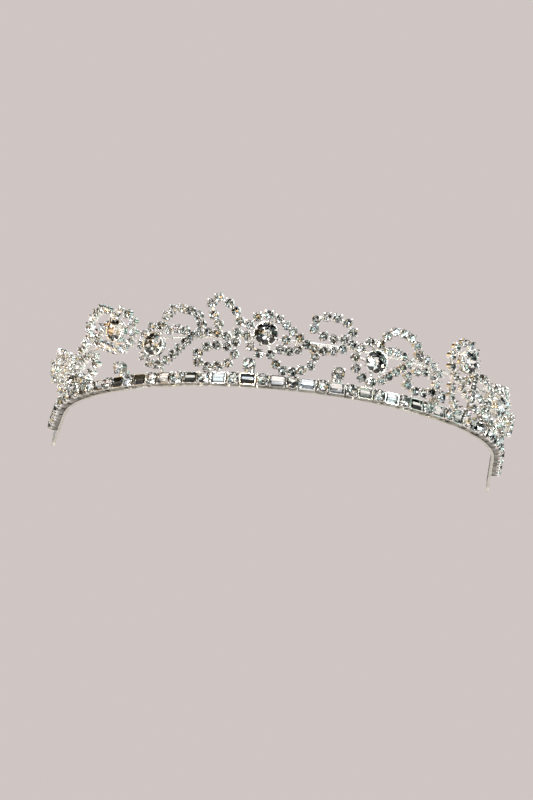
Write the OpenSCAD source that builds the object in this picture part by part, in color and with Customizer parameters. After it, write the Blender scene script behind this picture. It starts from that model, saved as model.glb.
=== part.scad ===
// Bridal tiara: a stone-set headband that carries a frieze of flowers and leafy branches.
// The band's arc is centred on the origin and lies flat, its lower edge on z = 0, and two straight
// legs run on from its ends. The front faces -Y, +X is to the viewer's right and +Z is up.
// All sizes are in millimetres.

/* [Headband] */
// Radius of the band's inner face
band_inner_r = 67; // [62:0.5:76]
// Thickness of the band strip
band_t = 1; // [0.8:0.1:1.2]
// Height of the band strip
band_h = 3.6; // [3.4:0.1:5]
// Angle from the front of the band to where either leg starts
arc_half_angle = 82; // [80:1:88]
// Length of each straight leg
leg_l = 45; // [38:1:60]
// Radius of the hole in each hairpin eyelet
eyelet_hole_r = 1.6; // [1.2:0.1:1.8]

/* [Stone row] */
// Angle between neighbouring round stones
row_pitch = 6.91; // [6.8:0.01:7.4]
// Round stones on each side of the front one
row_stones_each_side = 15; // [12:1:15]
// Diameter of a round cup in the row
row_cup_d = 3.6; // [3.4:0.1:3.6]
// How far the row's cups stand off the strip
row_cup_h = 2.2; // [1.8:0.1:2.6]
// Length of a baguette tray along the row
tray_l = 4.5; // [3.4:0.05:4.5]
// Height of a baguette tray
tray_w = 3.3; // [2.8:0.1:3.5]

/* [Ornament] */
// Diameter of a small cup in the flowers and branches
small_cup_d = 2.4; // [2.1:0.05:2.4]
// Diameter of a flower's centre setting
centre_d = 6.9; // [6:0.1:7.2]
// Radius of the ring of small stones round a flower
ring_r = 5.6; // [5.4:0.1:6]
// Angle by which the ornament leans outwards from the band's upper edge
flare = 8; // [0:0.5:9]
// Height of the gallery wire above the stone row
wire_rise = 12; // [10:0.5:13]
// Diameter of the gallery wire
wire_d = 0.8; // [0.7:0.1:1]

/* [Hidden] */
FLOWERS = [1:8];
BRANCHES = [1:5];

band_mid_r = band_inner_r + band_t / 2;
band_outer_r = band_inner_r + band_t;
row_z = band_h / 2 + 0.1;
wire_z = row_z + wire_rise;
ornament_back_r = band_mid_r + wire_d / 2;
degrees_per_mm = 180 / (PI * (band_outer_r + row_cup_h));

// Angles, in steps of the row, of the single stones that stand above it
ACCENT_STEPS = [-9.5, -6.5, -1.5, 1.5, 5.5, 8.3];
accent_rise = 4.5;
accent_cup_d = 3.5;
// An accent's post is a short barrel, and its cup sinks this far into the barrel's top
accent_post_d = 3;
accent_sink = 0.9;
wire_half_angle = 80;

// A motif's place: [angle, rise above the row, flow along the band, side of the loop, turn].
// A flow of 1 runs towards +X and a side of 1 hangs the loop below the flower.
FLOWER_PLACES = [
    [-80, 11, 1, 1, 22],
    [-45.3, 15.2, -1, -1, -18],
    [-33.6, 9.9, 1, -1, 0],
    [-6.9, 13, 1, 1, 2],
    [18.5, 9.3, 1, -1, -1.8],
    [44.7, 16.6, 1, 1, -43],
    [63.6, 9.3, 1, -1, -22],
    [81.7, 9.6, 1, 1, 30]
];
BRANCH_PLACES = [
    [-46.2, 17.6, -1, -1, -25],
    [-33.8, 10.3, 1, -1, -2],
    [-7.1, 12.3, 1, 1, 4],
    [17, 10.8, 1, -1, -2],
    [38.6, 8.4, 1, 1, 0]
];
// Which branch has a second leaf on the other side of its stem
TWO_LEAF_BRANCH = 2;
// Branches whose stem starts one stone later, because the flower before them reaches further
SHORT_STEMS = [1, 4, 5];
// Where the solder posts stand: [angle, rise of the post's top above the row]
SOLDER_POSTS = [
    [-80, 4.6], [-59.5, 5.4], [-32.8, 4.4], [-18.6, 5.4],
    [18, 4.4], [30.8, 5], [47.5, 4.2], [63.2, 4.6], [74.4, 7.2]
];

cup_wall = 0.22;
stone_play = 0.02;
// A round stone is this much smaller than the outside of its cup
stone_less = 0.2;
small_cup_h = 1.5;
small_floor = 1;
// Heights of a small stone's girdle and table above the rim of its cup
small_girdle_up = 0.1;
small_table_up = 0.6;
row_floor = 1.2;
// The same for the row's round stones and the accents
row_girdle_up = 0.12;
row_table_up = 0.9;
tray_h = 1.9;
tray_floor = 0.9;
link_d = 0.7;
link_lift = 0.55;
// How far a link starts from the middle of its cup
link_inset = 0.85;
claw_d = 0.6;
// How far the middle of a claw stands out from its cup's wall, and its tip above the rim
claw_out = 0.25;
claw_up = 0.6;
setting_h = 3.4;
setting_floor = 1.5;
setting_base_r = 2.2;
setting_rim_wall = 0.3;
// A centre stone is this much smaller than the rim of its setting
centre_less = 0.7;
round_fn = 32;
wire_fn = 24;

// Outline of the canonical flower: u runs with the flow and v runs up, from the centre stone.
ring_first = 53;
ring_step = 32.75;
line_pitch = 2.55;
LINE_DIR = [0.766, -0.643];
// A leaf is an ellipse of stones: [centre, a, b, tilt, number of stones, taper towards its tip]
LOOP = [[8.4, -6.8], 5.6, 3, 14, 10, 0];
LEAF = [[18.7, 3.2], 5.7, 3, -8, 9, 0.04];
HIGH_LEAF = [[20.8, -8.3], 5.9, 3, 50, 9, 0.04];
// Stones left out where a leaf crosses the rest of its motif
LOOP_GAPS = [1, 4];
HIGH_LEAF_GAPS = [1];
STEM_START = 13.6;
STEM_STEP = 2.7;
// The stem is a shallow curve: [bend, where it is lowest, how low]
STEM_BEND = [0.045, 17, -3.4];

// ---- Points of the motifs ----

// Points at even steps round a leaf
function leaf_points(leaf) =
    let (c = leaf[0], a = leaf[1], b = leaf[2], tilt = leaf[3], count = leaf[4], taper = leaf[5])
    let (even = 90 / PI * (a - b) / (a + b))
    [for (k = [0:count - 1])
        let (e = 360 * k / count, t = e + even * sin(2 * e))
        let (x = a * cos(t), y = b * sin(t) * (1 + taper * cos(t)))
        c + [x * cos(tilt) - y * sin(tilt), x * sin(tilt) + y * cos(tilt)]];

function ring_points(count) =
    [for (k = [0:count - 1]) ring_r * [cos(ring_first + ring_step * k), sin(ring_first + ring_step * k)]];

function without(points, gaps) =
    [for (k = [0:len(points) - 1]) if (len(search(k, gaps)) == 0) points[k]];

function line_points() =
    [for (k = [1:4]) ring_points(1)[0] + line_pitch * k * LINE_DIR];

function stem_points() =
    [for (k = [0:4])
        let (u = STEM_START + STEM_STEP * k)
        [u, STEM_BEND[0] * pow(u - STEM_BEND[1], 2) + STEM_BEND[2]]];

// A flower whose loop hangs has one more stone in its ring
function ring_count(place) = place[3] > 0 ? 10 : 9;
function flower_points(place) =
    concat(ring_points(ring_count(place)), line_points(), without(leaf_points(LOOP), LOOP_GAPS));
function own_stem(i) =
    let (skip = len(search(i, SHORT_STEMS)), all = stem_points())
    [for (k = [skip:len(all) - 1]) all[k]];
function branch_points(i) =
    concat(
        own_stem(i),
        leaf_points(LEAF),
        i == TWO_LEAF_BRANCH ? without(leaf_points(HIGH_LEAF), HIGH_LEAF_GAPS) : []
    );

// Pairs of neighbouring stones along a run
function run_pairs(points) =
    [for (k = [0:len(points) - 2]) [points[k], points[k + 1]]];

function flower_pairs(place) =
    let (ring = ring_points(ring_count(place)), line = line_points(), loop = leaf_points(LOOP))
    concat(
        run_pairs(ring),
        run_pairs(concat([ring[0]], line)),
        run_pairs([ring[7], loop[5], loop[6], loop[7], loop[8], loop[9], loop[0], line[3]]),
        run_pairs([ring[8], loop[3], loop[2], line[3]])
    );

// The three ring stones whose bars reach in to the centre setting
SPOKES = [1, 4, 7];

function high_leaf_pairs(stem, high) =
    run_pairs(concat([stem[4], high[0]], [for (k = [8:-1:2]) high[k]], [stem[2]]));

function branch_pairs(i) =
    let (stem = stem_points(), leaf = leaf_points(LEAF))
    concat(
        run_pairs(own_stem(i)),
        run_pairs(concat([stem[4]], leaf, [stem[4]])),
        i == TWO_LEAF_BRANCH ? high_leaf_pairs(stem, leaf_points(HIGH_LEAF)) : []
    );

// ---- From a motif's flat outline to the band's round face ----

// [angle, height] on the face for a canonical point of a motif
function on_face(place, p) =
    let (u = p[0], v = p[1] * place[3], turn = place[4])
    [
        place[0] + place[2] * degrees_per_mm * (u * cos(turn) - v * sin(turn)),
        row_z + place[1] + u * sin(turn) + v * cos(turn)
    ];

// An angle past the arc's end is measured on along the leg
function on_arc(angle) = max(-arc_half_angle, min(arc_half_angle, angle));
function past_arc(angle) = (angle - on_arc(angle)) * PI / 180 * band_outer_r;

// How far the leaning ornament stands out at a height
function lean(z) = (z - band_h) * tan(flare);

function in_space(face_point, back_r) =
    let (a = on_arc(face_point[0]), along = past_arc(face_point[0]))
    let (r = back_r + lean(face_point[1]))
        [along * cos(a) + r * sin(a), along * sin(a) - r * cos(a), face_point[1]];

// Children drawn with +Z standing straight out of the face
module at_face(angle, z, r)
    rotate([0, 0, on_arc(angle)])
        translate([past_arc(angle), -r, z])
            rotate([90, 0, 0])
                children();

// The same on the ornament, which leans outwards
module on_ornament(angle, z)
    at_face(angle, z, ornament_back_r + lean(z))
        rotate([flare, 0, 0])
            children();

module at_motif(place, p)
    let (f = on_face(place, p))
        on_ornament(f[0], f[1])
            children();

// ---- Shapes that repeat ----

module cup(d, h, floor_z) {
    rotate_extrude($fn = round_fn)
        polygon([
            [0, 0], [d / 2, 0], [d / 2, h], [d / 2 - cup_wall, h], [d / 2 - cup_wall, floor_z], [0, floor_z]
        ]);
}

// A round stone that stands on its cup's floor: pavilion, girdle, crown and table
module round_stone(d, base_z, girdle_z, table_z) {
    girdle_h = 0.12;
    base_r = 0.15 * d / 2;
    table_r = 0.58 * d / 2;
    rotate_extrude($fn = round_fn)
        polygon([
            [0, base_z], [base_r, base_z], [d / 2, girdle_z], [d / 2, girdle_z + girdle_h],
            [table_r, table_z], [0, table_z]
        ]);
}

module claws(count, circle_r, from_z, to_z) {
    for (k = [0:count - 1])
        rotate([0, 0, (k + 0.5) * 360 / count])
            translate([circle_r, 0, from_z])
                cylinder(h = to_z - from_z, d = claw_d, $fn = 16);
}

// The stone and the claws of a round cup in the row or above it
module row_stone(cup_d) {
    round_stone(cup_d - stone_less, row_floor, row_cup_h + row_girdle_up, row_cup_h + row_table_up);
}

module row_claws(cup_d) {
    claws(4, cup_d / 2 + claw_out, row_floor, row_cup_h + claw_up);
}

// A six-sided link between two points of a motif, short of each by its inset
module link(place, p, q, inset_p, inset_q) {
    link_r = ornament_back_r + link_lift;
    start = in_space(on_face(place, p), link_r);
    v = in_space(on_face(place, q), link_r) - start;
    length = norm(v);
    translate(start)
        rotate([0, acos(v[2] / length), atan2(v[1], v[0])])
            translate([0, 0, inset_p])
                cylinder(h = length - inset_p - inset_q, d = link_d, $fn = 6);
}

module motif_frame(place, points, pairs) {
    for (p = points)
        at_motif(place, p)
            cup(small_cup_d, small_cup_h, small_floor);
    for (pair = pairs)
        link(place, pair[0], pair[1], link_inset, link_inset);
}

module motif_stones(place, points) {
    color("lightcyan")
        for (p = points)
            at_motif(place, p)
                round_stone(
                    small_cup_d - stone_less, small_floor,
                    small_cup_h + small_girdle_up, small_cup_h + small_table_up
                );
}

// ---- Headband ----

module headband() {
    color("silver")
        union() {
            rotate([0, 0, -90 - arc_half_angle])
                rotate_extrude(angle = 2 * arc_half_angle, $fn = 240)
                    translate([band_inner_r, 0])
                        square([band_t, band_h]);
            for (side = [-1, 1])
                rotate([0, 0, side * arc_half_angle])
                    translate([side > 0 ? 0 : -leg_l, -band_outer_r, 0])
                        cube([leg_l, band_t, band_h]);
        }
}

// A flat ring that butts against the strip's end, where a hairgrip goes through
module hairpin_eyelet(side) {
    eyelet_r = eyelet_hole_r + 1;
    flat_x = eyelet_r - 0.3;
    color("silver")
        rotate([0, 0, side * arc_half_angle])
            translate([side * (leg_l + flat_x), -band_inner_r, band_h / 2])
                rotate([90, 0, 0])
                    difference() {
                        cylinder(h = band_t, r = eyelet_r, $fn = 48);
                        translate([0, 0, -1])
                            cylinder(h = band_t + 2, r = eyelet_hole_r, $fn = 48);
                        translate([-side * (flat_x + eyelet_r), -eyelet_r, -1])
                            translate([side > 0 ? 0 : -eyelet_r, 0, 0])
                                cube([eyelet_r, 2 * eyelet_r, band_t + 2]);
                    }
}

// ---- Stone row ----

ROW_STEPS = [-row_stones_each_side:row_stones_each_side];
TRAY_STEPS = [-row_stones_each_side:row_stones_each_side - 1];

module row_round_cups() {
    color("silver")
        for (k = ROW_STEPS)
            at_face(k * row_pitch, row_z, band_outer_r)
                union() {
                    cup(row_cup_d, row_cup_h, row_floor);
                    row_claws(row_cup_d);
                }
}

module row_round_stones() {
    color("lightcyan")
        for (k = ROW_STEPS)
            at_face(k * row_pitch, row_z, band_outer_r)
                row_stone(row_cup_d);
}

module baguette_trays() {
    color("silver")
        for (k = TRAY_STEPS)
            at_face((k + 0.5) * row_pitch, row_z, band_outer_r)
                difference() {
                    translate([-tray_l / 2, -tray_w / 2, 0])
                        cube([tray_l, tray_w, tray_h]);
                    translate([cup_wall - tray_l / 2, cup_wall - tray_w / 2, tray_floor])
                        cube([tray_l - 2 * cup_wall, tray_w - 2 * cup_wall, tray_h]);
                }
}

// Step-cut bar: two bevelled prisms crossed, so that all four sides slope to the table
module baguette_stones() {
    l = tray_l - 2 * (cup_wall + stone_play);
    w = tray_w - 2 * (cup_wall + stone_play);
    side_h = 0.9;
    stone_h = 1.5;
    bevel = 0.7;
    color("lightcyan")
        for (k = TRAY_STEPS)
            at_face((k + 0.5) * row_pitch, row_z, band_outer_r + tray_floor)
                intersection() {
                    translate([0, w / 2, 0])
                        rotate([90, 0, 0])
                            linear_extrude(w)
                                bevelled_bar(l, side_h, stone_h, bevel);
                    translate([-l / 2, 0, 0])
                        rotate([90, 0, 90])
                            linear_extrude(l)
                                bevelled_bar(w, side_h, stone_h, bevel);
                }
}

module bevelled_bar(width, side_h, full_h, bevel) {
    polygon([
        [-width / 2, 0], [width / 2, 0], [width / 2, side_h],
        [width / 2 - bevel, full_h], [bevel - width / 2, full_h], [-width / 2, side_h]
    ]);
}

// ---- Accent stones, posts and wire ----

module accent_cups() {
    color("silver")
        for (k = ACCENT_STEPS)
            on_ornament(k * row_pitch, row_z + accent_rise)
                union() {
                    cup(accent_cup_d, row_cup_h, row_floor);
                    row_claws(accent_cup_d);
                }
}

module accent_stones() {
    color("lightcyan")
        for (k = ACCENT_STEPS)
            on_ornament(k * row_pitch, row_z + accent_rise)
                row_stone(accent_cup_d);
}

module post(angle, top_z, d) {
    rotate([0, 0, angle])
        translate([0, -band_mid_r, band_h])
            rotate([flare, 0, 0])
                cylinder(h = (top_z - band_h) / cos(flare), d = d, $fn = wire_fn);
}

module accent_posts() {
    post_top = row_z + accent_rise - accent_cup_d / 2 + accent_sink;
    color("silver")
        for (k = ACCENT_STEPS)
            post(k * row_pitch, post_top, accent_post_d);
}

module solder_posts() {
    color("silver")
        for (p = SOLDER_POSTS)
            post(p[0], row_z + p[1], wire_d);
}

// A thin round wire behind the ornament; each end comes down to the strip as a leg under a bead
module gallery_wire() {
    leg_d = wire_d - 0.1;
    bead_d = wire_d + 0.3;
    wire_r = band_mid_r + lean(wire_z);
    color("silver")
        union() {
            rotate([0, 0, -90 - wire_half_angle])
                rotate_extrude(angle = 2 * wire_half_angle, $fn = 240)
                    translate([wire_r, wire_z])
                        circle(d = wire_d, $fn = wire_fn);
            for (side = [-1, 1]) {
                post(side * wire_half_angle, wire_z, leg_d);
                rotate([0, 0, side * wire_half_angle])
                    translate([0, -wire_r, wire_z])
                        sphere(d = bead_d, $fn = wire_fn);
            }
        }
}

// ---- Flowers and branches ----

module flower_frame(i) {
    place = FLOWER_PLACES[i - 1];
    ring = ring_points(ring_count(place));
    spoke_inset = setting_base_r + 0.15;
    color("silver")
        union() {
            motif_frame(place, flower_points(place), flower_pairs(place));
            for (k = SPOKES)
                link(place, ring[k], [0, 0], link_inset, spoke_inset);
        }
}

module flower_small_stones(i) {
    place = FLOWER_PLACES[i - 1];
    motif_stones(place, flower_points(place));
}

module flower_setting(i) {
    rim_r = centre_d / 2;
    floor_r = 0.55 * rim_r;
    claw_from = 0.6 * setting_h;
    claw_to = setting_h + 0.4;
    color("silver")
        at_motif(FLOWER_PLACES[i - 1], [0, 0])
            union() {
                rotate_extrude($fn = round_fn)
                    polygon([
                        [0, 0], [setting_base_r, 0], [rim_r, setting_h],
                        [rim_r - setting_rim_wall, setting_h], [floor_r, setting_floor], [0, setting_floor]
                    ]);
                claws(8, rim_r, claw_from, claw_to);
            }
}

module flower_centre_stone(i) {
    girdle_z = setting_h - 0.05;
    table_z = setting_h + 0.9;
    color("lightcyan")
        at_motif(FLOWER_PLACES[i - 1], [0, 0])
            round_stone(centre_d - centre_less, setting_floor, girdle_z, table_z);
}

module branch_frame(i) {
    color("silver")
        union()
            motif_frame(BRANCH_PLACES[i - 1], branch_points(i), branch_pairs(i));
}

module branch_small_stones(i) {
    motif_stones(BRANCH_PLACES[i - 1], branch_points(i));
}

headband();
hairpin_eyelet(-1);  // left_hairpin_eyelet
hairpin_eyelet(1);  // right_hairpin_eyelet
row_round_cups();
row_round_stones();
baguette_trays();
baguette_stones();
accent_cups();
accent_stones();
accent_posts();
solder_posts();
gallery_wire();
for (i = FLOWERS) {
    flower_frame(i);
    flower_small_stones(i);
    flower_setting(i);
    flower_centre_stone(i);
}
for (i = BRANCHES) {
    branch_frame(i);
    branch_small_stones(i);
}
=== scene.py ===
# %% [markdown]
# # A bridal tiara set with foil-backed crystals
#
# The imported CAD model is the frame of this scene: the strip, the wires and every seat for a stone
# are already in their places. Here the plain stones get their facets, the cups get claws that bend
# over the stones, and the metal gets its plating. The scene is in metres, and small shapes are
# written in millimetres and scaled when they are set in place.

# %% Load the frame
import math
from collections import namedtuple

import bpy
import numpy as np
from mathutils import Matrix


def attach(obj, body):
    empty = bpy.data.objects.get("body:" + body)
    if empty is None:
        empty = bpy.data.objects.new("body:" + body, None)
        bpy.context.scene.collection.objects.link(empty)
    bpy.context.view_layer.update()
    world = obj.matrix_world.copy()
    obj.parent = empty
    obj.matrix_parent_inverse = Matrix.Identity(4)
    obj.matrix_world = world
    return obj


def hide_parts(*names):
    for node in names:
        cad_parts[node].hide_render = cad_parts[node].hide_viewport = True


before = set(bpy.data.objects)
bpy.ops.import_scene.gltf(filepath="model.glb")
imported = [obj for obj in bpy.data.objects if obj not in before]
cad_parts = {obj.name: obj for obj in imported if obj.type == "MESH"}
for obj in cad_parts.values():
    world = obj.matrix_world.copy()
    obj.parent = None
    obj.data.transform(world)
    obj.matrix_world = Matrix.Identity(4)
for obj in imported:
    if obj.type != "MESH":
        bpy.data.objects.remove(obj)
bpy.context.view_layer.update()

MM = 0.001

# %% [markdown]
# ## Camera
#
# The tiara is seen from a little below its band and turned slightly clockwise, as it sits on a
# tilted head. A long lens keeps the far ends nearly as large as the front. The camera's three axes
# are worked out from two angles on the sphere and a roll, which is easier to read than a matrix.

# %% Camera
AIM = np.array([0, 0, 1.9]) * MM
DISTANCE = 0.56
LENS_MM = 79.74
SHIFT = (-0.0148, 0.0465)
azimuth, elevation, roll = np.radians([-2.04, -12.82, 5.52])
back = np.array([
    math.sin(azimuth) * math.cos(elevation), -math.cos(azimuth) * math.cos(elevation), math.sin(elevation)
])
level = np.array([math.cos(azimuth), math.sin(azimuth), 0])
upward = np.cross(back, level)
right = math.cos(roll) * level + math.sin(roll) * upward
top = math.cos(roll) * upward - math.sin(roll) * level

camera = bpy.data.objects.new("camera", bpy.data.cameras.new("camera"))
bpy.context.collection.objects.link(camera)
axes = Matrix(np.stack([right, top, back], axis=1).tolist()).to_4x4()
camera.matrix_world = Matrix.Translation(AIM + back * DISTANCE) @ axes
camera.data.lens = LENS_MM
camera.data.shift_x, camera.data.shift_y = SHIFT
camera.data.clip_start = 0.01
bpy.context.scene.camera = camera
print("camera at", [round(v, 3) for v in camera.location])

# %% [markdown]
# ## Floor, lights and surroundings
#
# Crystals and plating show little colour of their own. What the eye reads as sparkle is the
# contrast between bright and dark things around them. An even white room would make every stone
# look like milk glass, so the studio has soft-edged screens with dark gaps, and a dark patch behind
# the camera, which is what the flat tops of the stones mirror.

# %% Helpers for colours and nodes
def srgb(code, alpha=1.0):
    """A hex code as linear red, green, blue and alpha, by the sRGB curve."""
    c = np.array([int(code[i:i + 2], 16) for i in (1, 3, 5)]) / 255
    linear = np.where(c <= 0.04045, c / 12.92, ((c + 0.055) / 1.055) ** 2.4)
    return (*linear.tolist(), alpha)


def add_node(tree, kind, settings=(), links=(), **inputs):
    """Adds a node; settings are its properties, inputs its values, links pairs of input and source socket."""
    node = tree.nodes.new(kind)
    for name, value in dict(settings).items():
        setattr(node, name, value)
    for name, value in inputs.items():
        node.inputs[name.replace("_", " ")].default_value = value
    for name, source in dict(links).items():
        tree.links.new(source, node.inputs[name])
    return node


WALL = "#CFC6C3"
PAPER = "#D9D2CF"
print("wall and paper:", [[round(v, 3) for v in srgb(code)] for code in (WALL, PAPER)])

# %% [markdown]
# The screens are one noise pattern on the direction of view, cut into four greys. Their light is
# warm on the left and minty on the right. Only mirrored and refracted rays see them: the camera
# itself sees a flat pale wall.

# %% Screens and wall
world = bpy.data.worlds.new("studio")
bpy.context.scene.world = world
world.use_nodes = True
tree = world.node_tree
tree.nodes.clear()
direction = add_node(tree, "ShaderNodeTexCoord").outputs["Generated"]
screens = add_node(tree, "ShaderNodeTexNoise", links={"Vector": direction}, Scale=2.1, Detail=1.0, Roughness=0.4)
shade = add_node(tree, "ShaderNodeValToRGB", links={"Fac": screens.outputs["Fac"]})
split = add_node(tree, "ShaderNodeSeparateXYZ", links={"Vector": direction})
sideways = add_node(tree, "ShaderNodeMapRange", links={"Value": split.outputs["X"]}, From_Min=-0.9, From_Max=0.9)
cast = add_node(tree, "ShaderNodeValToRGB", links={"Fac": sideways.outputs["Result"]})
SCREEN_GREYS = [(0.40, "#121315"), (0.47, "#6B6E72"), (0.53, "#A6A9AC"), (0.57, "#FFFFFF")]
WARM_TO_MINT = [(0.05, "#E0C295"), (0.35, "#F8FAFD"), (0.65, "#FAFCFF"), (0.95, "#DDFFF0")]
for ramp, stops in ((shade.color_ramp, SCREEN_GREYS), (cast.color_ramp, WARM_TO_MINT)):
    while len(ramp.elements) < len(stops):
        ramp.elements.new(0.5)
    for element, (where, colour) in zip(ramp.elements, stops):
        element.position, element.color = where, srgb(colour)

# The dark patch: full within 8 degrees of the line from the tiara to the camera, gone at 22
facing = add_node(tree, "ShaderNodeVectorMath", settings={"operation": "DOT_PRODUCT"}, links={0: direction})
facing.inputs[1].default_value = back.tolist()
behind = add_node(tree, "ShaderNodeMapRange", links={"Value": facing.outputs["Value"]},
                  From_Min=0.93, From_Max=0.99)
patched = add_node(tree, "ShaderNodeMixRGB", links={
    "Fac": behind.outputs["Result"], "Color1": shade.outputs["Color"]}, Color2=srgb("#0C0C0D"))
coloured = add_node(tree, "ShaderNodeMixRGB", settings={"blend_type": "MULTIPLY"}, links={
    "Color1": patched.outputs["Color"], "Color2": cast.outputs["Color"]}, Fac=1.0)
room = add_node(tree, "ShaderNodeBackground", links={"Color": coloured.outputs["Color"]}, Strength=1.25)
wall = add_node(tree, "ShaderNodeBackground", Color=srgb(WALL), Strength=1.0)
seen = add_node(tree, "ShaderNodeLightPath")
mixed = add_node(tree, "ShaderNodeMixShader", links={
    0: seen.outputs["Is Camera Ray"], 1: room.outputs[0], 2: wall.outputs[0]})
add_node(tree, "ShaderNodeOutputWorld", links={"Surface": mixed.outputs[0]})
print("world nodes:", len(tree.nodes))

# %% [markdown]
# A few large softboxes give the metal its broad soft lights. Eleven small lamps stand in an arc
# before the tiara: each shows as a spark in any facet that happens to be turned to it.

# %% Lamps
SOFTBOXES = [
    # name, place in metres, side in metres, watts, colour
    ("key", (-0.35, -0.75, 0.45), 0.22, 1.6, "#FFF8F0"),
    ("fill", (0.70, -0.55, 0.15), 0.20, 0.9, "#F0FFFA"),
    ("overhead", (0.05, -0.10, 0.95), 0.40, 1.8, "#FFFFFF"),
    ("rim", (0.10, 0.80, 0.50), 0.30, 1.2, "#F6F8FF"),
    ("warm_side", (-0.85, 0.05, 0.05), 0.20, 0.5, "#FFC98A"),
    ("low_front", (0.15, -0.80, -0.30), 0.15, 0.25, "#F4FFFB"),
]
SPARK_COUNT, SPARK_R, SPARK_SIDE, SPARK_W = 11, 0.75, 0.06, 0.5
SPARK_COLOURS = ["#FFFFFF", "#FFE9C8", "#DFF3FF"]
rng = np.random.default_rng(7)
angles = np.radians(np.linspace(-75, 75, SPARK_COUNT) + rng.uniform(-4, 4, SPARK_COUNT))
lifts = rng.uniform(-0.25, 0.5, SPARK_COUNT)
sparks = [
    (f"spark_{i}", (SPARK_R * math.sin(a), -SPARK_R * math.cos(a), z), SPARK_SIDE, SPARK_W, SPARK_COLOURS[i % 3])
    for i, (a, z) in enumerate(zip(angles, lifts))
]
for name, place, side, watts, colour in SOFTBOXES + sparks:
    lamp = bpy.data.lights.new(name, "AREA")
    lamp.size = side
    lamp.energy = watts
    lamp.color = srgb(colour)[:3]
    stand = bpy.data.objects.new(name, lamp)
    bpy.context.collection.objects.link(stand)
    stand.location = place
    stand.rotation_euler = (-stand.location).to_track_quat("-Z", "Y").to_euler()
    stand.visible_camera = False
print("lamps:", len(SOFTBOXES) + len(sparks))

# %% [markdown]
# The floor is one large sheet of pale paper. It lies well below the tiara, because the camera looks
# up from under the band, and it glows a little, as a lit table does, so that it stays as pale as
# the wall in every view.

# %% Floor
FLOOR_Z = -0.30
HALF = 6
mesh = bpy.data.meshes.new("floor")
mesh.from_pydata([(x, y, FLOOR_Z) for x, y in ((-HALF, -HALF), (HALF, -HALF), (HALF, HALF), (-HALF, HALF))],
                 [], [(0, 1, 2, 3)])
floor = bpy.data.objects.new("floor", mesh)
bpy.context.collection.objects.link(floor)
paper = bpy.data.materials.new("matt_paper")
paper.use_nodes = True
sheet = paper.node_tree.nodes["Principled BSDF"].inputs
sheet["Base Color"].default_value = srgb(PAPER)
sheet["Roughness"].default_value = 0.9
sheet["Emission Color"].default_value = srgb(WALL)
sheet["Emission Strength"].default_value = 0.35
floor.data.materials.append(paper)
print("floor at", FLOOR_Z, "m")

# %% [markdown]
# ## Metal finishes
#
# Costume tiaras are tin castings on a spring strip, plated with silver: bright, slightly warm, and
# never quite flat, because the casting's skin shows through the thin plating. One recipe makes all
# four finishes. Its tone drifts over about 4 mm, as wear does. The real skin is taken as finer than
# 0.1 mm, which would not show, so its grain is drawn at 0.5 to 0.8 mm.

# %% Metal finishes
def finish_of(name):
    """A new material with its Principled shader, as (material, node tree, shader)."""
    material = bpy.data.materials.new(name)
    material.use_nodes = True
    return material, material.node_tree, material.node_tree.nodes["Principled BSDF"]


WEAR_MM = 4


def plating(name, bright, worn, rough_low, rough_high, grain_mm, bump_mm):
    """Silver plate: two tones that drift over the metal, with a skin of fine grain."""
    material, tree, shader = finish_of(name)
    place = add_node(tree, "ShaderNodeTexCoord")
    drift = add_node(tree, "ShaderNodeTexNoise", links={"Vector": place.outputs["Object"]},
                     Scale=1 / (WEAR_MM * MM), Detail=3.0)
    tone = add_node(tree, "ShaderNodeValToRGB", links={"Fac": drift.outputs["Fac"]})
    tone.color_ramp.elements[0].position, tone.color_ramp.elements[1].position = 0.35, 0.62
    tone.color_ramp.elements[0].color, tone.color_ramp.elements[1].color = srgb(worn), srgb(bright)
    tree.links.new(tone.outputs["Color"], shader.inputs["Base Color"])
    grain = add_node(tree, "ShaderNodeTexNoise", links={"Vector": place.outputs["Object"]},
                     Scale=1 / (grain_mm * MM), Detail=2.0)
    rough = add_node(tree, "ShaderNodeMapRange", links={"Value": grain.outputs["Fac"]},
                     From_Min=0.3, From_Max=0.7, To_Min=rough_low, To_Max=rough_high)
    tree.links.new(rough.outputs["Result"], shader.inputs["Roughness"])
    skin = add_node(tree, "ShaderNodeBump", links={"Height": grain.outputs["Fac"]},
                    Strength=0.5, Distance=bump_mm * MM)
    tree.links.new(skin.outputs["Normal"], shader.inputs["Normal"])
    shader.inputs["Metallic"].default_value = 1.0
    return material


# Barrel-polished castings: the sharpest reflections of the four, on cups and claws
silver_plate = plating("silver_plate_on_cast_tin", "#FAFAFA", "#E2DFD8", 0.10, 0.22, 0.5, 0.03)
# Rolled strip takes plating evenly, so it is smoother but softer in its shine
# Its two tones are a little darker than the castings': painted shade, for the strip lies under the stones' shadow
strip_plate = plating("silver_plate_on_spring_strip", "#ECEBE6", "#D6D1C6", 0.20, 0.30, 0.8, 0.008)
# Drawn wire has fine lines along it that spread the light, so it reads as one white line
wire_plate = plating("silver_plate_on_drawn_wire", "#FFFFFF", "#F3F1EA", 0.22, 0.36, 0.5, 0.01)
# Painted shade: low between the cups the plate is painted a dull grey for the shadow that falls there
painted_shade_recess = plating("painted_shade_in_the_recesses", "#A5A49E", "#5A5955", 0.25, 0.45, 0.6, 0.02)
print("metals:", [m.name for m in (silver_plate, strip_plate, wire_plate, painted_shade_recess)])
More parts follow.
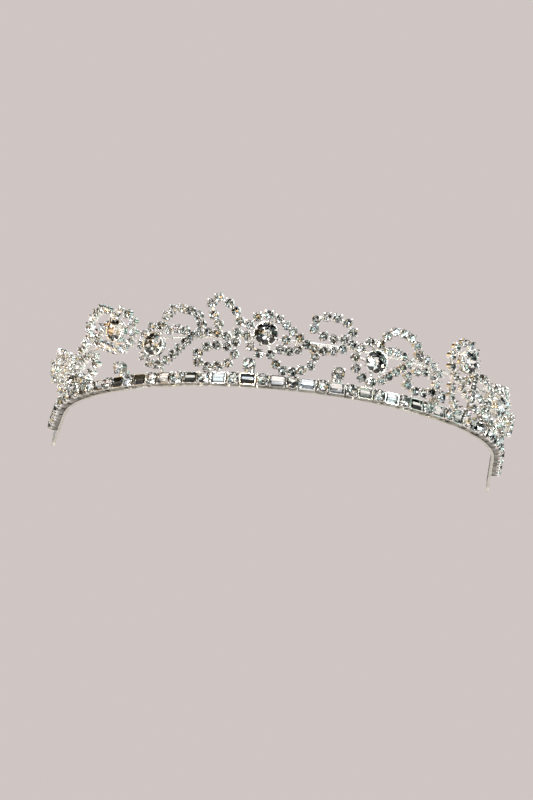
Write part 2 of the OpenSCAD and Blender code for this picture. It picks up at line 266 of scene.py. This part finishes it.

# %% [markdown]
# ## Crystal finishes
#
# The stones are clear leaded glass with a silvered foil on the facets at the back, which is why they
# throw all their light forwards. Glass alone needs many bounces of light to look alive. Here each
# facet carries a painted colour in an attribute instead, painted reflections and painted fire, so that
# a stone of a few millimetres shows bright and dark facets side by side.


# %% Crystal finishes
def foil_of(name):
    """The vacuum-silvered back of a crystal: a mirror. Its tone is set facet by facet, and stands in for
    the light and dark things that each facet would mirror."""
    material, tree, shader = finish_of(name)
    place = add_node(tree, "ShaderNodeTexCoord")
    # Silvering is uneven on a scale too fine to show, so its clouds are drawn at 0.7 mm
    cloud = add_node(tree, "ShaderNodeTexNoise", links={"Vector": place.outputs["Object"]}, Scale=1 / (0.7 * MM))
    rough = add_node(tree, "ShaderNodeMapRange", links={"Value": cloud.outputs["Fac"]}, To_Min=0.0, To_Max=0.08)
    tree.links.new(rough.outputs["Result"], shader.inputs["Roughness"])
    tone = add_node(tree, "ShaderNodeAttribute", settings={"attribute_name": "painted_tone"})
    tree.links.new(tone.outputs["Color"], shader.inputs["Base Color"])
    shader.inputs["Metallic"].default_value = 1.0
    return material


def crystal_of(name, ior):
    """Clear lead crystal; each facet carries a faint painted colour of its own, painted fire where split light would
    colour it.
    """
    material, tree, shader = finish_of(name)
    painted_tone = add_node(tree, "ShaderNodeAttribute", settings={"attribute_name": "painted_tone"})
    tree.links.new(painted_tone.outputs["Color"], shader.inputs["Base Color"])
    place = add_node(tree, "ShaderNodeTexCoord")
    # The marks of polishing grit are micrometres wide, so their haze is drawn at 0.9 mm, where it shows
    haze = add_node(tree, "ShaderNodeTexNoise", links={"Vector": place.outputs["Object"]}, Scale=1 / (0.9 * MM))
    rough = add_node(tree, "ShaderNodeMapRange", links={"Value": haze.outputs["Fac"]}, To_Min=0.0, To_Max=0.03)
    tree.links.new(rough.outputs["Result"], shader.inputs["Roughness"])
    shader.inputs["Transmission Weight"].default_value = 1.0
    shader.inputs["IOR"].default_value = ior
    return material


LEAD_GLASS_IOR = 1.65
silver_foil = foil_of("silvered_foil_back")
lead_crystal = crystal_of("lead_crystal_facets", LEAD_GLASS_IOR)
print("stones:", silver_foil.name, lead_crystal.name)

# %% [markdown]
# ## Seats
#
# The stones in the CAD model are plain turned solids that mark where each crystal sits. From each
# one come the middle of its base and the way it faces, so a faceted crystal can take its place with
# no measuring.

# %% Find the seats
Seats = namedtuple("Seats", "base right up out")


def seats_of(node):
    """One seat for each separate solid of a node.

    Corners that coincide to a micrometre are one. Every corner takes the lowest number among the
    triangles that it touches, again and again, until each solid has one number. A solid faces along
    the direction in which its corners spread least."""
    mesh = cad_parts[node].data
    corners = np.empty(len(mesh.vertices) * 3)
    mesh.vertices.foreach_get("co", corners)
    loops = np.empty(len(mesh.loops), int)
    mesh.loops.foreach_get("vertex_index", loops)
    keys, which = np.unique(np.round(corners.reshape(-1, 3) * 1e6).astype(int), axis=0, return_inverse=True)
    triangles = which.ravel()[loops].reshape(-1, 3)
    label = np.arange(len(keys))
    while True:
        lower = label.copy()
        np.minimum.at(lower, triangles, label[triangles].min(1)[:, None])
        lower = lower[lower]
        if (lower == label).all():
            break
        label = lower
    solid = np.unique(label, return_inverse=True)[1].ravel()
    count = solid.max() + 1
    points = keys * 1e-6
    size = np.bincount(solid)[:, None]
    centre = np.stack([np.bincount(solid, points[:, i]) for i in range(3)], 1) / size
    off = points - centre[solid]
    spread = np.zeros((count, 3, 3))
    np.add.at(spread, solid, off[:, :, None] * off[:, None, :])
    out = np.linalg.eigh(spread)[1][:, :, 0]
    out *= np.sign((out * centre * [1, 1, 0]).sum(1))[:, None]
    depth = np.full(count, np.inf)
    np.minimum.at(depth, solid, (off * out[solid]).sum(1))
    sideways = np.cross([0, 0, 1], out)
    sideways /= np.linalg.norm(sideways, axis=1)[:, None]
    return Seats(centre + out * depth[:, None], sideways, np.cross(out, sideways), out)


row_seats = seats_of("row_round_stones")
print("round stones in the row:", len(row_seats.base))

# %% [markdown]
# ## Shapes
#
# Nearly every piece here is a run of rings joined by strips of faces and closed at both ends: a cup
# is rings about its own axis, a claw is small rings along a bent line, and a step-cut stone is a
# run of rectangles. Blender's own primitives and modifiers could make each of them, but not at some
# three hundred seats. One function joins rings, and another sets a shape on every seat at once.

# %% Rings to shapes
Shape = namedtuple("Shape", "points loops sizes finish")


def loft(rings, finish=None):
    """Strips of quads between neighbouring rings, and one flat face on each end ring.

    rings is an array of m rings by n points by 3. Rings that run anticlockwise and climb give
    faces that point outwards. finish is a material number for each of the m + 1 bands."""
    m, n = rings.shape[:2]
    i, j = np.meshgrid(np.arange(m - 1), np.arange(n), indexing="ij")
    k = (j + 1) % n
    quads = np.stack([i * n + j, i * n + k, (i + 1) * n + k, (i + 1) * n + j], -1).reshape(-1)
    loops = np.concatenate([np.arange(n)[::-1], quads, (m - 1) * n + np.arange(n)])
    sizes = np.concatenate([[n], np.full((m - 1) * n, 4), [n]])
    bands = np.zeros(m + 1, int) if finish is None else np.array(finish)
    return Shape(rings.reshape(-1, 3), loops, sizes, np.repeat(bands, [1] + [n] * (m - 1) + [1]))


def turned(profile, n, turn=0.0):
    """A profile of (radius, height) pairs, carried round the Z axis in n steps: r cos, r sin, z."""
    profile = np.array(profile, float)
    a = 2 * np.pi * (np.arange(n) + turn) / n
    r, z = profile[:, :1], profile[:, 1:]
    return np.stack([r * np.cos(a), r * np.sin(a), z + 0 * a], -1)


def claw(path, widths, sides=5):
    """A bent bar: rings square to a line of (radius, height) points, with a half-width at each."""
    path = np.array(path, float)
    along = np.gradient(path, axis=0)
    along /= np.linalg.norm(along, axis=1)[:, None]
    a = 2 * np.pi * np.arange(sides) / sides
    w = np.array(widths)[:, None]
    across, side = w * np.cos(a), w * np.sin(a)
    x = path[:, :1] + along[:, 1:] * across
    z = path[:, 1:] - along[:, :1] * across
    return np.stack([x, side, z], -1)


def rectangle(length, width, z):
    """Four corners, anticlockwise from the lower left."""
    x, y = length / 2, width / 2
    return [(-x, -y, z), (x, -y, z), (x, y, z), (-x, y, z)]


print("points in a ring of eight:", turned([(1, 0)], 8).shape[1])


# %% Copies of shapes
def together(*shapes):
    """Several shapes as one."""
    starts = np.cumsum([0] + [len(s.points) for s in shapes])
    return Shape(
        np.concatenate([s.points for s in shapes]),
        np.concatenate([s.loops + start for s, start in zip(shapes, starts)]),
        np.concatenate([s.sizes for s in shapes]),
        np.concatenate([s.finish for s in shapes]),
    )


def around(shape, count, start=0.5):
    """count copies of a shape at even angles about Z, the first one start steps round."""
    a = 2 * np.pi * (np.arange(count) + start) / count
    x, y, z = shape.points.T
    return together(*[
        shape._replace(points=np.stack([x * c - y * s, x * s + y * c, z], 1))
        for c, s in zip(np.cos(a), np.sin(a))
    ])


def set_out(shape, seats, spin=None):
    """The shape, in millimetres, on every seat: base + right x + up y + out z, after a spin about z."""
    count = len(seats.base)
    spin = np.zeros(count) if spin is None else spin
    c, s = np.cos(spin)[:, None], np.sin(spin)[:, None]
    x, y, z = shape.points.T * MM
    u, v = c * x - s * y, s * x + c * y
    points = (
        seats.base[:, None] + u[..., None] * seats.right[:, None] + v[..., None] * seats.up[:, None]
        + np.broadcast_to(z, u.shape)[..., None] * seats.out[:, None]
    )
    step = len(shape.points) * np.arange(count)[:, None]
    return Shape(
        points.reshape(-1, 3), (shape.loops + step).ravel(), np.tile(shape.sizes, count), np.tile(shape.finish, count)
    )


square = np.array([rectangle(1, 1, 0), rectangle(1, 1, 1)])
print("four boxes about an axis have", len(around(loft(square), 4).sizes), "faces")

# %% [markdown]
# Metal shades smoothly across any edge that bends less than 42 degrees, so a turned rim looks round.
# A crystal is shaded flat, because its facets are flat: shaded smoothly it would look like a pebble.

# %% Shapes to pieces
SOFT_EDGE = math.radians(42)


def piece(name, shape, materials, nodes, painted_tones=None):
    """Puts a shape into a mesh object that rides on the body and stands for its CAD nodes."""
    mesh = bpy.data.meshes.new(name)
    mesh.vertices.add(len(shape.points))
    mesh.vertices.foreach_set("co", shape.points.astype(np.float32).ravel())
    mesh.loops.add(len(shape.loops))
    mesh.loops.foreach_set("vertex_index", shape.loops.astype(np.int32))
    mesh.polygons.add(len(shape.sizes))
    mesh.polygons.foreach_set("loop_start", np.concatenate([[0], np.cumsum(shape.sizes)[:-1]]).astype(np.int32))
    mesh.polygons.foreach_set("material_index", shape.finish.astype(np.int32))
    for material in materials:
        mesh.materials.append(material)
    mesh.update(calc_edges=True)
    if painted_tones is None:
        mesh.set_sharp_from_angle(angle=SOFT_EDGE)
    else:
        mesh.shade_flat()
        # Each facet's painted colour: painted reflections and painted fire
        colour = mesh.attributes.new("painted_tone", "FLOAT_COLOR", "FACE")
        colour.data.foreach_set("color", painted_tones.astype(np.float32).ravel())
    made = bpy.data.objects.new(name, mesh)
    bpy.context.collection.objects.link(made)
    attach(made, "root")
    if nodes:
        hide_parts(*nodes)
    print(f"{name}: {len(shape.sizes)} faces")


print("edges stay soft up to", round(math.degrees(SOFT_EDGE)), "degrees")

# %% [markdown]
# ## Crystals
#
# Round crystals are brilliants: a flat table, a ring of star facets, kites that reach the girdle
# and narrow facets between them. The small ones are single cuts, with eight facets and a table,
# which is how two-millimetre stones are really cut. Baguettes are step cut, with a ridge along the
# front and a keel along the back, so each shows as two long halves. Every facet has a kind, which
# is its material number: clear crystal, or foil painted in mixed, bright or dark tones as painted reflections.

# %% Kinds of facet and the round cuts
# Foil kinds: mixed painted tones, painted bright reflection, painted dark reflection
CRYSTAL, FOIL, PAINTED_BRIGHT, PAINTED_DARK = 0, 1, 2, 3


def brilliant(radius, table, girdle_low, girdle_high, top_z, centre, star=0.78, sides=8):
    """A brilliant of 8-fold symmetry on a pointed, foiled back; centre is the kind of its inmost facets.

    table and star are the radii of the table and of the star corners, as shares of the whole. A kite
    is flat when its star corner lies on the plane through the table corner and the girdle point:
    height falls in proportion to the distance from the table corner to the girdle."""
    half = np.pi / sides
    a = 2 * half * np.arange(sides)
    rise = top_z - girdle_high
    rt, rs = table * radius, star * radius
    star_z = girdle_high + rise * (radius - rs * np.cos(half)) / (radius - rt)
    low_r = 0.42 * radius
    low_z = girdle_low * (low_r * np.cos(half)) / radius

    def ring(r, z, turn=0.0):
        return np.stack([r * np.cos(a + turn), r * np.sin(a + turn), np.full(sides, z)], 1)

    both = half * np.arange(2 * sides)
    rim = np.stack([radius * np.cos(both), radius * np.sin(both)], 1)
    points = np.concatenate([
        ring(rt, top_z), ring(rs, star_z, half),
        np.column_stack([rim, np.full(2 * sides, girdle_high)]),
        np.column_stack([rim, np.full(2 * sides, girdle_low)]),
        ring(low_r, low_z, half), [[0, 0, 0]],
    ])
    # First point of each ring: table, star, high girdle, low girdle, pavilion, and the point at the back
    T, S, H, L, P, C = 0, sides, 2 * sides, 4 * sides, 6 * sides, 7 * sides
    k = np.arange(sides)
    n, before = (k + 1) % sides, (k - 1) % sides
    h0, h1, h2 = H + 2 * k, H + 2 * k + 1, H + (2 * k + 2) % (2 * sides)
    l0, l1, l2 = h0 - H + L, h1 - H + L, h2 - H + L
    g = np.arange(2 * sides)
    gn = (g + 1) % (2 * sides)
    groups = [
        (k[None], CRYSTAL),
        (np.stack([T + k, S + k, T + n], 1), CRYSTAL),
        (np.stack([T + k, S + before, h0, S + k], 1), CRYSTAL),
        (np.stack([S + k, h0, h1], 1), CRYSTAL),
        (np.stack([S + k, h1, h2], 1), CRYSTAL),
        (np.stack([L + g, L + gn, H + gn, H + g], 1), CRYSTAL),
        # The pavilion's lower facets are painted dark: a painted dark reflection in the foil
        (np.stack([P + k, l1, l0], 1), PAINTED_DARK),
        (np.stack([P + k, l2, l1], 1), PAINTED_DARK),
        (np.stack([C + 0 * k, P + k, l0, P + before], 1), centre),
    ]
    return Shape(
        points,
        np.concatenate([f.ravel() for f, _ in groups]),
        np.concatenate([np.full(len(f), f.shape[1]) for f, _ in groups]),
        np.concatenate([np.full(len(f), kind) for f, kind in groups]),
    )


def single_cut(radius, table, girdle_low, girdle_high, top_z, sides=8):
    """Eight crown facets and a table over eight foiled facets."""
    blunt_r, blunt_z = 0.12 * radius, 0.02
    profile = [(blunt_r, blunt_z), (radius, girdle_low), (radius, girdle_high), (table * radius, top_z)]
    return loft(turned(profile, sides, 0.5), [FOIL, FOIL, CRYSTAL, CRYSTAL, CRYSTAL])


print("faces of a brilliant:", len(brilliant(1, 0.5, 0.5, 0.6, 1, FOIL).sizes),
      "and of a single cut:", len(single_cut(1, 0.5, 0.5, 0.6, 1).sizes))


# %% The step cut
def baguette(length, width, girdle, top_z):
    """A step cut: rectangles at the keel, both edges of the girdle, the step and the ridge."""
    edge = 0.03
    rings = np.array([
        rectangle(length - 0.9, edge, girdle - 0.5), rectangle(length, width, girdle - 0.12),
        rectangle(length, width, girdle), rectangle(length - 0.36, width - 0.34, girdle + 0.26),
        rectangle(length - 0.8, edge, top_z),
    ])
    # The back and the girdle's lower band are painted bright, painted reflections in the foil, save one keel face of
    # mixed tone
    bar = loft(rings, [PAINTED_BRIGHT, FOIL, PAINTED_BRIGHT, CRYSTAL, CRYSTAL, CRYSTAL])
    bar.finish[1:5] = [FOIL, PAINTED_BRIGHT, PAINTED_BRIGHT, PAINTED_BRIGHT]
    return bar


print("faces of a step cut:", len(baguette(4, 3, 1, 1.5).sizes))

# %% [markdown]
# Each facet draws a painted colour by chance, with fixed odds for its kind, and a fixed seed makes every
# run the same. The colours are painted reflections, and leaded glass splits light, so a few clear facets get painted
# fire in rose or amber.

# %% Tones
rng = np.random.default_rng(11)
# Painted colours: clear facets get painted reflections and fire, foiled facets painted tones from white reflection to
# nearly black shade
PAINTED_CLEAR_COLOURS = np.array([srgb(c) for c in ("#FFFFFF", "#F0FDFA", "#DDEEFF", "#FFE9EE", "#FFC98A")])
PAINTED_FOIL_TONES = np.array([srgb(c) for c in ("#FFFFFF", "#B9C4BF", "#2A2E2C", "#0E100F")])
SHARES = {FOIL: [0.66, 0.14, 0.11, 0.09], PAINTED_BRIGHT: [0.9, 0.1, 0.0, 0.0], PAINTED_DARK: [0.22, 0.12, 0.34, 0.32]}


def painted_tones_for(finish, fire):
    """A painted colour for each facet. Clear ones are white with some painted mint and sky reflection,
    and a share called fire, painted dispersion, sparks rose or amber. Foiled ones run from painted bright reflection
    to nearly black painted shade."""
    odds = [0.68 - fire, 0.2, 0.12, 0.4 * fire, 0.6 * fire]
    painted_tone = PAINTED_CLEAR_COLOURS[rng.choice(len(PAINTED_CLEAR_COLOURS), size=len(finish), p=odds)]
    for kind, shares in SHARES.items():
        tone = PAINTED_FOIL_TONES[rng.choice(len(PAINTED_FOIL_TONES), size=len(finish), p=shares)]
        painted_tone = np.where(finish[:, None] == kind, tone, painted_tone)
    return painted_tone


def crystals(name, shape, seats, nodes, ways=360, fire=0.06):
    """A set of crystals, each turned by chance to one of its ways, as a setter drops them in."""
    spin = rng.integers(0, ways, len(seats.base)) * 2 * np.pi / ways
    made = set_out(shape, seats, spin)
    piece(name, made, [lead_crystal] + [silver_foil] * len(SHARES), nodes, painted_tones_for(made.finish, fire))


print("tones:", len(PAINTED_FOIL_TONES), "and tints:", len(PAINTED_CLEAR_COLOURS))

# %% Crystals of the row
ROUND_R, ACCENT_R, SMALL_R, CENTRE_R = 1.76, 1.72, 1.28, 3.1
ROUND_LEVELS = {"table": 0.55, "girdle_low": 1.02, "girdle_high": 1.14, "top_z": 1.88}
accent_seats = seats_of("accent_stones")
bar_seats = seats_of("baguette_stones")
crystals("row_crystals", brilliant(ROUND_R, centre=FOIL, **ROUND_LEVELS), row_seats,
         ["row_round_stones"])
crystals("accent_crystals", brilliant(ACCENT_R, centre=FOIL, **ROUND_LEVELS), accent_seats,
         ["accent_stones"])
crystals("baguette_crystals", baguette(length=4.02, width=2.82, girdle=0.94, top_z=1.5), bar_seats,
         ["baguette_stones"], ways=2, fire=0.0)

# %% [markdown]
# ## Cups and claws
#
# A cup is turned: a wall, a rim and a floor for the stone. Claws rise from its side and are pushed
# over the edge of the stone, which is what holds it. A profile carried round the axis gives the cup
# its small beads and edges in one line of numbers each, and a bent bar gives the claw. The lowest
# bands of the wall are painted dark grey as painted shade, which sets each stone off from the next with a dark gap.


# %% Cups of the row
def claw_cup(radius, depth, rim_z, stone_r, claw_top):
    """A turned cup with four claws, each a bar along a bent line; heights are from the stone's base."""
    # The wall's two lowest bands take material 1, the painted shade of the recess
    wall = loft(turned([
        (radius - 0.22, -depth), (radius - 0.04, -depth + 0.14), (radius - 0.04, rim_z - 0.35),
        (radius, rim_z - 0.25), (radius, rim_z - 0.05), (radius - 0.06, rim_z), (radius - 0.2, rim_z),
        (radius - 0.24, rim_z - 0.08), (radius - 0.24, 0.0),
    ], 28), [0, 1, 1] + [0] * 7)
    bent = loft(claw([
        (radius - 0.02, -0.3), (radius + 0.18, 0.45), (radius + 0.23, claw_top - 0.6),
        (radius + 0.05, claw_top - 0.24), (stone_r - 0.26, claw_top - 0.14),
    ], [0.2, 0.24, 0.25, 0.23, 0.17], 6))
    return together(wall, around(bent, 4))


ROW_CUP = {"depth": 1.2, "rim_z": 1.0, "claw_top": 1.75}
piece("row_claw_cups", set_out(claw_cup(radius=1.8, stone_r=ROUND_R, **ROW_CUP), row_seats),
      [silver_plate, painted_shade_recess], ["row_round_cups"])
piece("accent_claw_cups", set_out(claw_cup(radius=1.75, stone_r=ACCENT_R, **ROW_CUP), accent_seats),
      [silver_plate, painted_shade_recess], ["accent_cups"])


# %% Trays of the baguettes
def tray(length, width, depth, rim_z):
    """A box with a softened rim and a thin wall, as a run of rectangles, and a claw over each corner."""
    rings = np.array([
        rectangle(length - 0.2, width - 0.2, -depth), rectangle(length, width, -depth + 0.1),
        rectangle(length, width, rim_z - 0.06), rectangle(length - 0.1, width - 0.1, rim_z),
        rectangle(length - 0.36, width - 0.36, rim_z), rectangle(length - 0.44, width - 0.44, rim_z - 0.08),
        rectangle(length - 0.44, width - 0.44, 0.0),
    ])
    reach = math.hypot(length, width) / 2
    corner = loft(claw([
        (reach - 0.2, 0.2), (reach - 0.16, 0.75), (reach - 0.25, 1.08), (reach - 0.55, 1.2),
    ], [0.17, 0.2, 0.19, 0.14]))
    angle = math.atan2(width, length)
    corners = [around(corner, 1, a / (2 * np.pi)) for a in (angle, np.pi - angle, np.pi + angle, -angle)]
    # The box's two lowest bands take material 1, the painted shade of the recess
    return together(loft(rings, [0, 1, 1] + [0] * 5), *corners)


piece("baguette_tray_settings", set_out(tray(length=4.5, width=3.3, depth=0.9, rim_z=1.0), bar_seats),
      [silver_plate, painted_shade_recess], ["baguette_trays"])

# %% [markdown]
# ## Flowers and branches
#
# The open wirework stays as the CAD model has it. Each small cup gets four claws and a single-cut
# crystal, and each flower's heart gets a basket with eight claws round a large brilliant.

# %% The hearts' baskets
def basket():
    """A tapering turned cup with a beaded rim and eight long claws; heights are from the stone's base."""
    wall = loft(turned([
        (2.05, -1.5), (2.2, -1.4), (2.35, -1.0), (2.3, -0.8), (2.9, 0.6), (3.05, 0.75), (3.05, 0.95), (3.0, 1.05),
        (3.2, 1.6), (3.42, 1.72), (3.42, 1.86), (3.3, 1.9), (3.12, 1.9), (3.1, 1.7), (1.9, 0.0),
    ], 40))
    bent = loft(claw([
        (2.15, -1.3), (3.0, 0.3), (3.5, 1.4), (3.55, 2.0), (3.25, 2.45), (2.6, 2.58),
    ], [0.26, 0.3, 0.34, 0.36, 0.32, 0.22], 7))
    return together(wall, around(bent, 8))


heart_basket = basket()
# The heart's inmost back facets are painted bright: a painted reflection
heart_cut = brilliant(CENTRE_R, table=0.55, girdle_low=1.85, girdle_high=1.97, top_z=2.8, centre=PAINTED_BRIGHT)
print("faces of a heart's basket:", len(heart_basket.sizes))

# %% Flowers and branches
# The small claws end in beads, which show as bright dots round every small stone
small_claw = loft(claw([(1.2, 0.05), (1.46, 0.5), (1.4, 0.9), (1.04, 1.12)], [0.18, 0.27, 0.32, 0.24], 5))
small_claws = around(small_claw, 4)
small_cut = single_cut(SMALL_R, table=0.55, girdle_low=0.55, girdle_high=0.65, top_z=1.1)
motifs = sorted(n[:-len("_small_stones")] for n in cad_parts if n.endswith("_small_stones"))
for motif in motifs:
    seats = seats_of(f"{motif}_small_stones")
    crystals(f"{motif}_small_crystals", small_cut, seats, [f"{motif}_small_stones"])
    piece(f"{motif}_small_claws", set_out(small_claws, seats, rng.uniform(-0.3, 0.3, len(seats.base))),
          [silver_plate], [])
    if motif.startswith("flower"):
        heart = seats_of(f"{motif}_centre_stone")
        crystals(f"{motif}_centre_crystal", heart_cut, heart, [f"{motif}_centre_stone"])
        piece(f"{motif}_claw_basket", set_out(heart_basket, heart), [silver_plate],
              [f"{motif}_setting"])

# %% [markdown]
# ## Kept metal
#
# The strip, its eyelets, the wires, the posts and the open wirework are already the right shape in
# the CAD model, so they only get their plating. Everything that isn't strip or wire is cast.

# %% Metal of the kept CAD nodes
NOT_CAST = {
    "headband": strip_plate, "left_hairpin_eyelet": strip_plate, "right_hairpin_eyelet": strip_plate,
    "gallery_wire": wire_plate,
}
kept = [name for name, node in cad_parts.items() if not node.hide_render]
for name in kept:
    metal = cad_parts[name].data.materials
    metal.clear()
    metal.append(NOT_CAST.get(name, silver_plate))
print("kept:", sorted(kept))

# %% [markdown]
# The plain view transform keeps the clipped white of a real sparkle. At the foremost claw basket the
# pieces stand 0.2 mm past the CAD model.

# %% View transform
bpy.context.scene.view_settings.view_transform = "Standard"
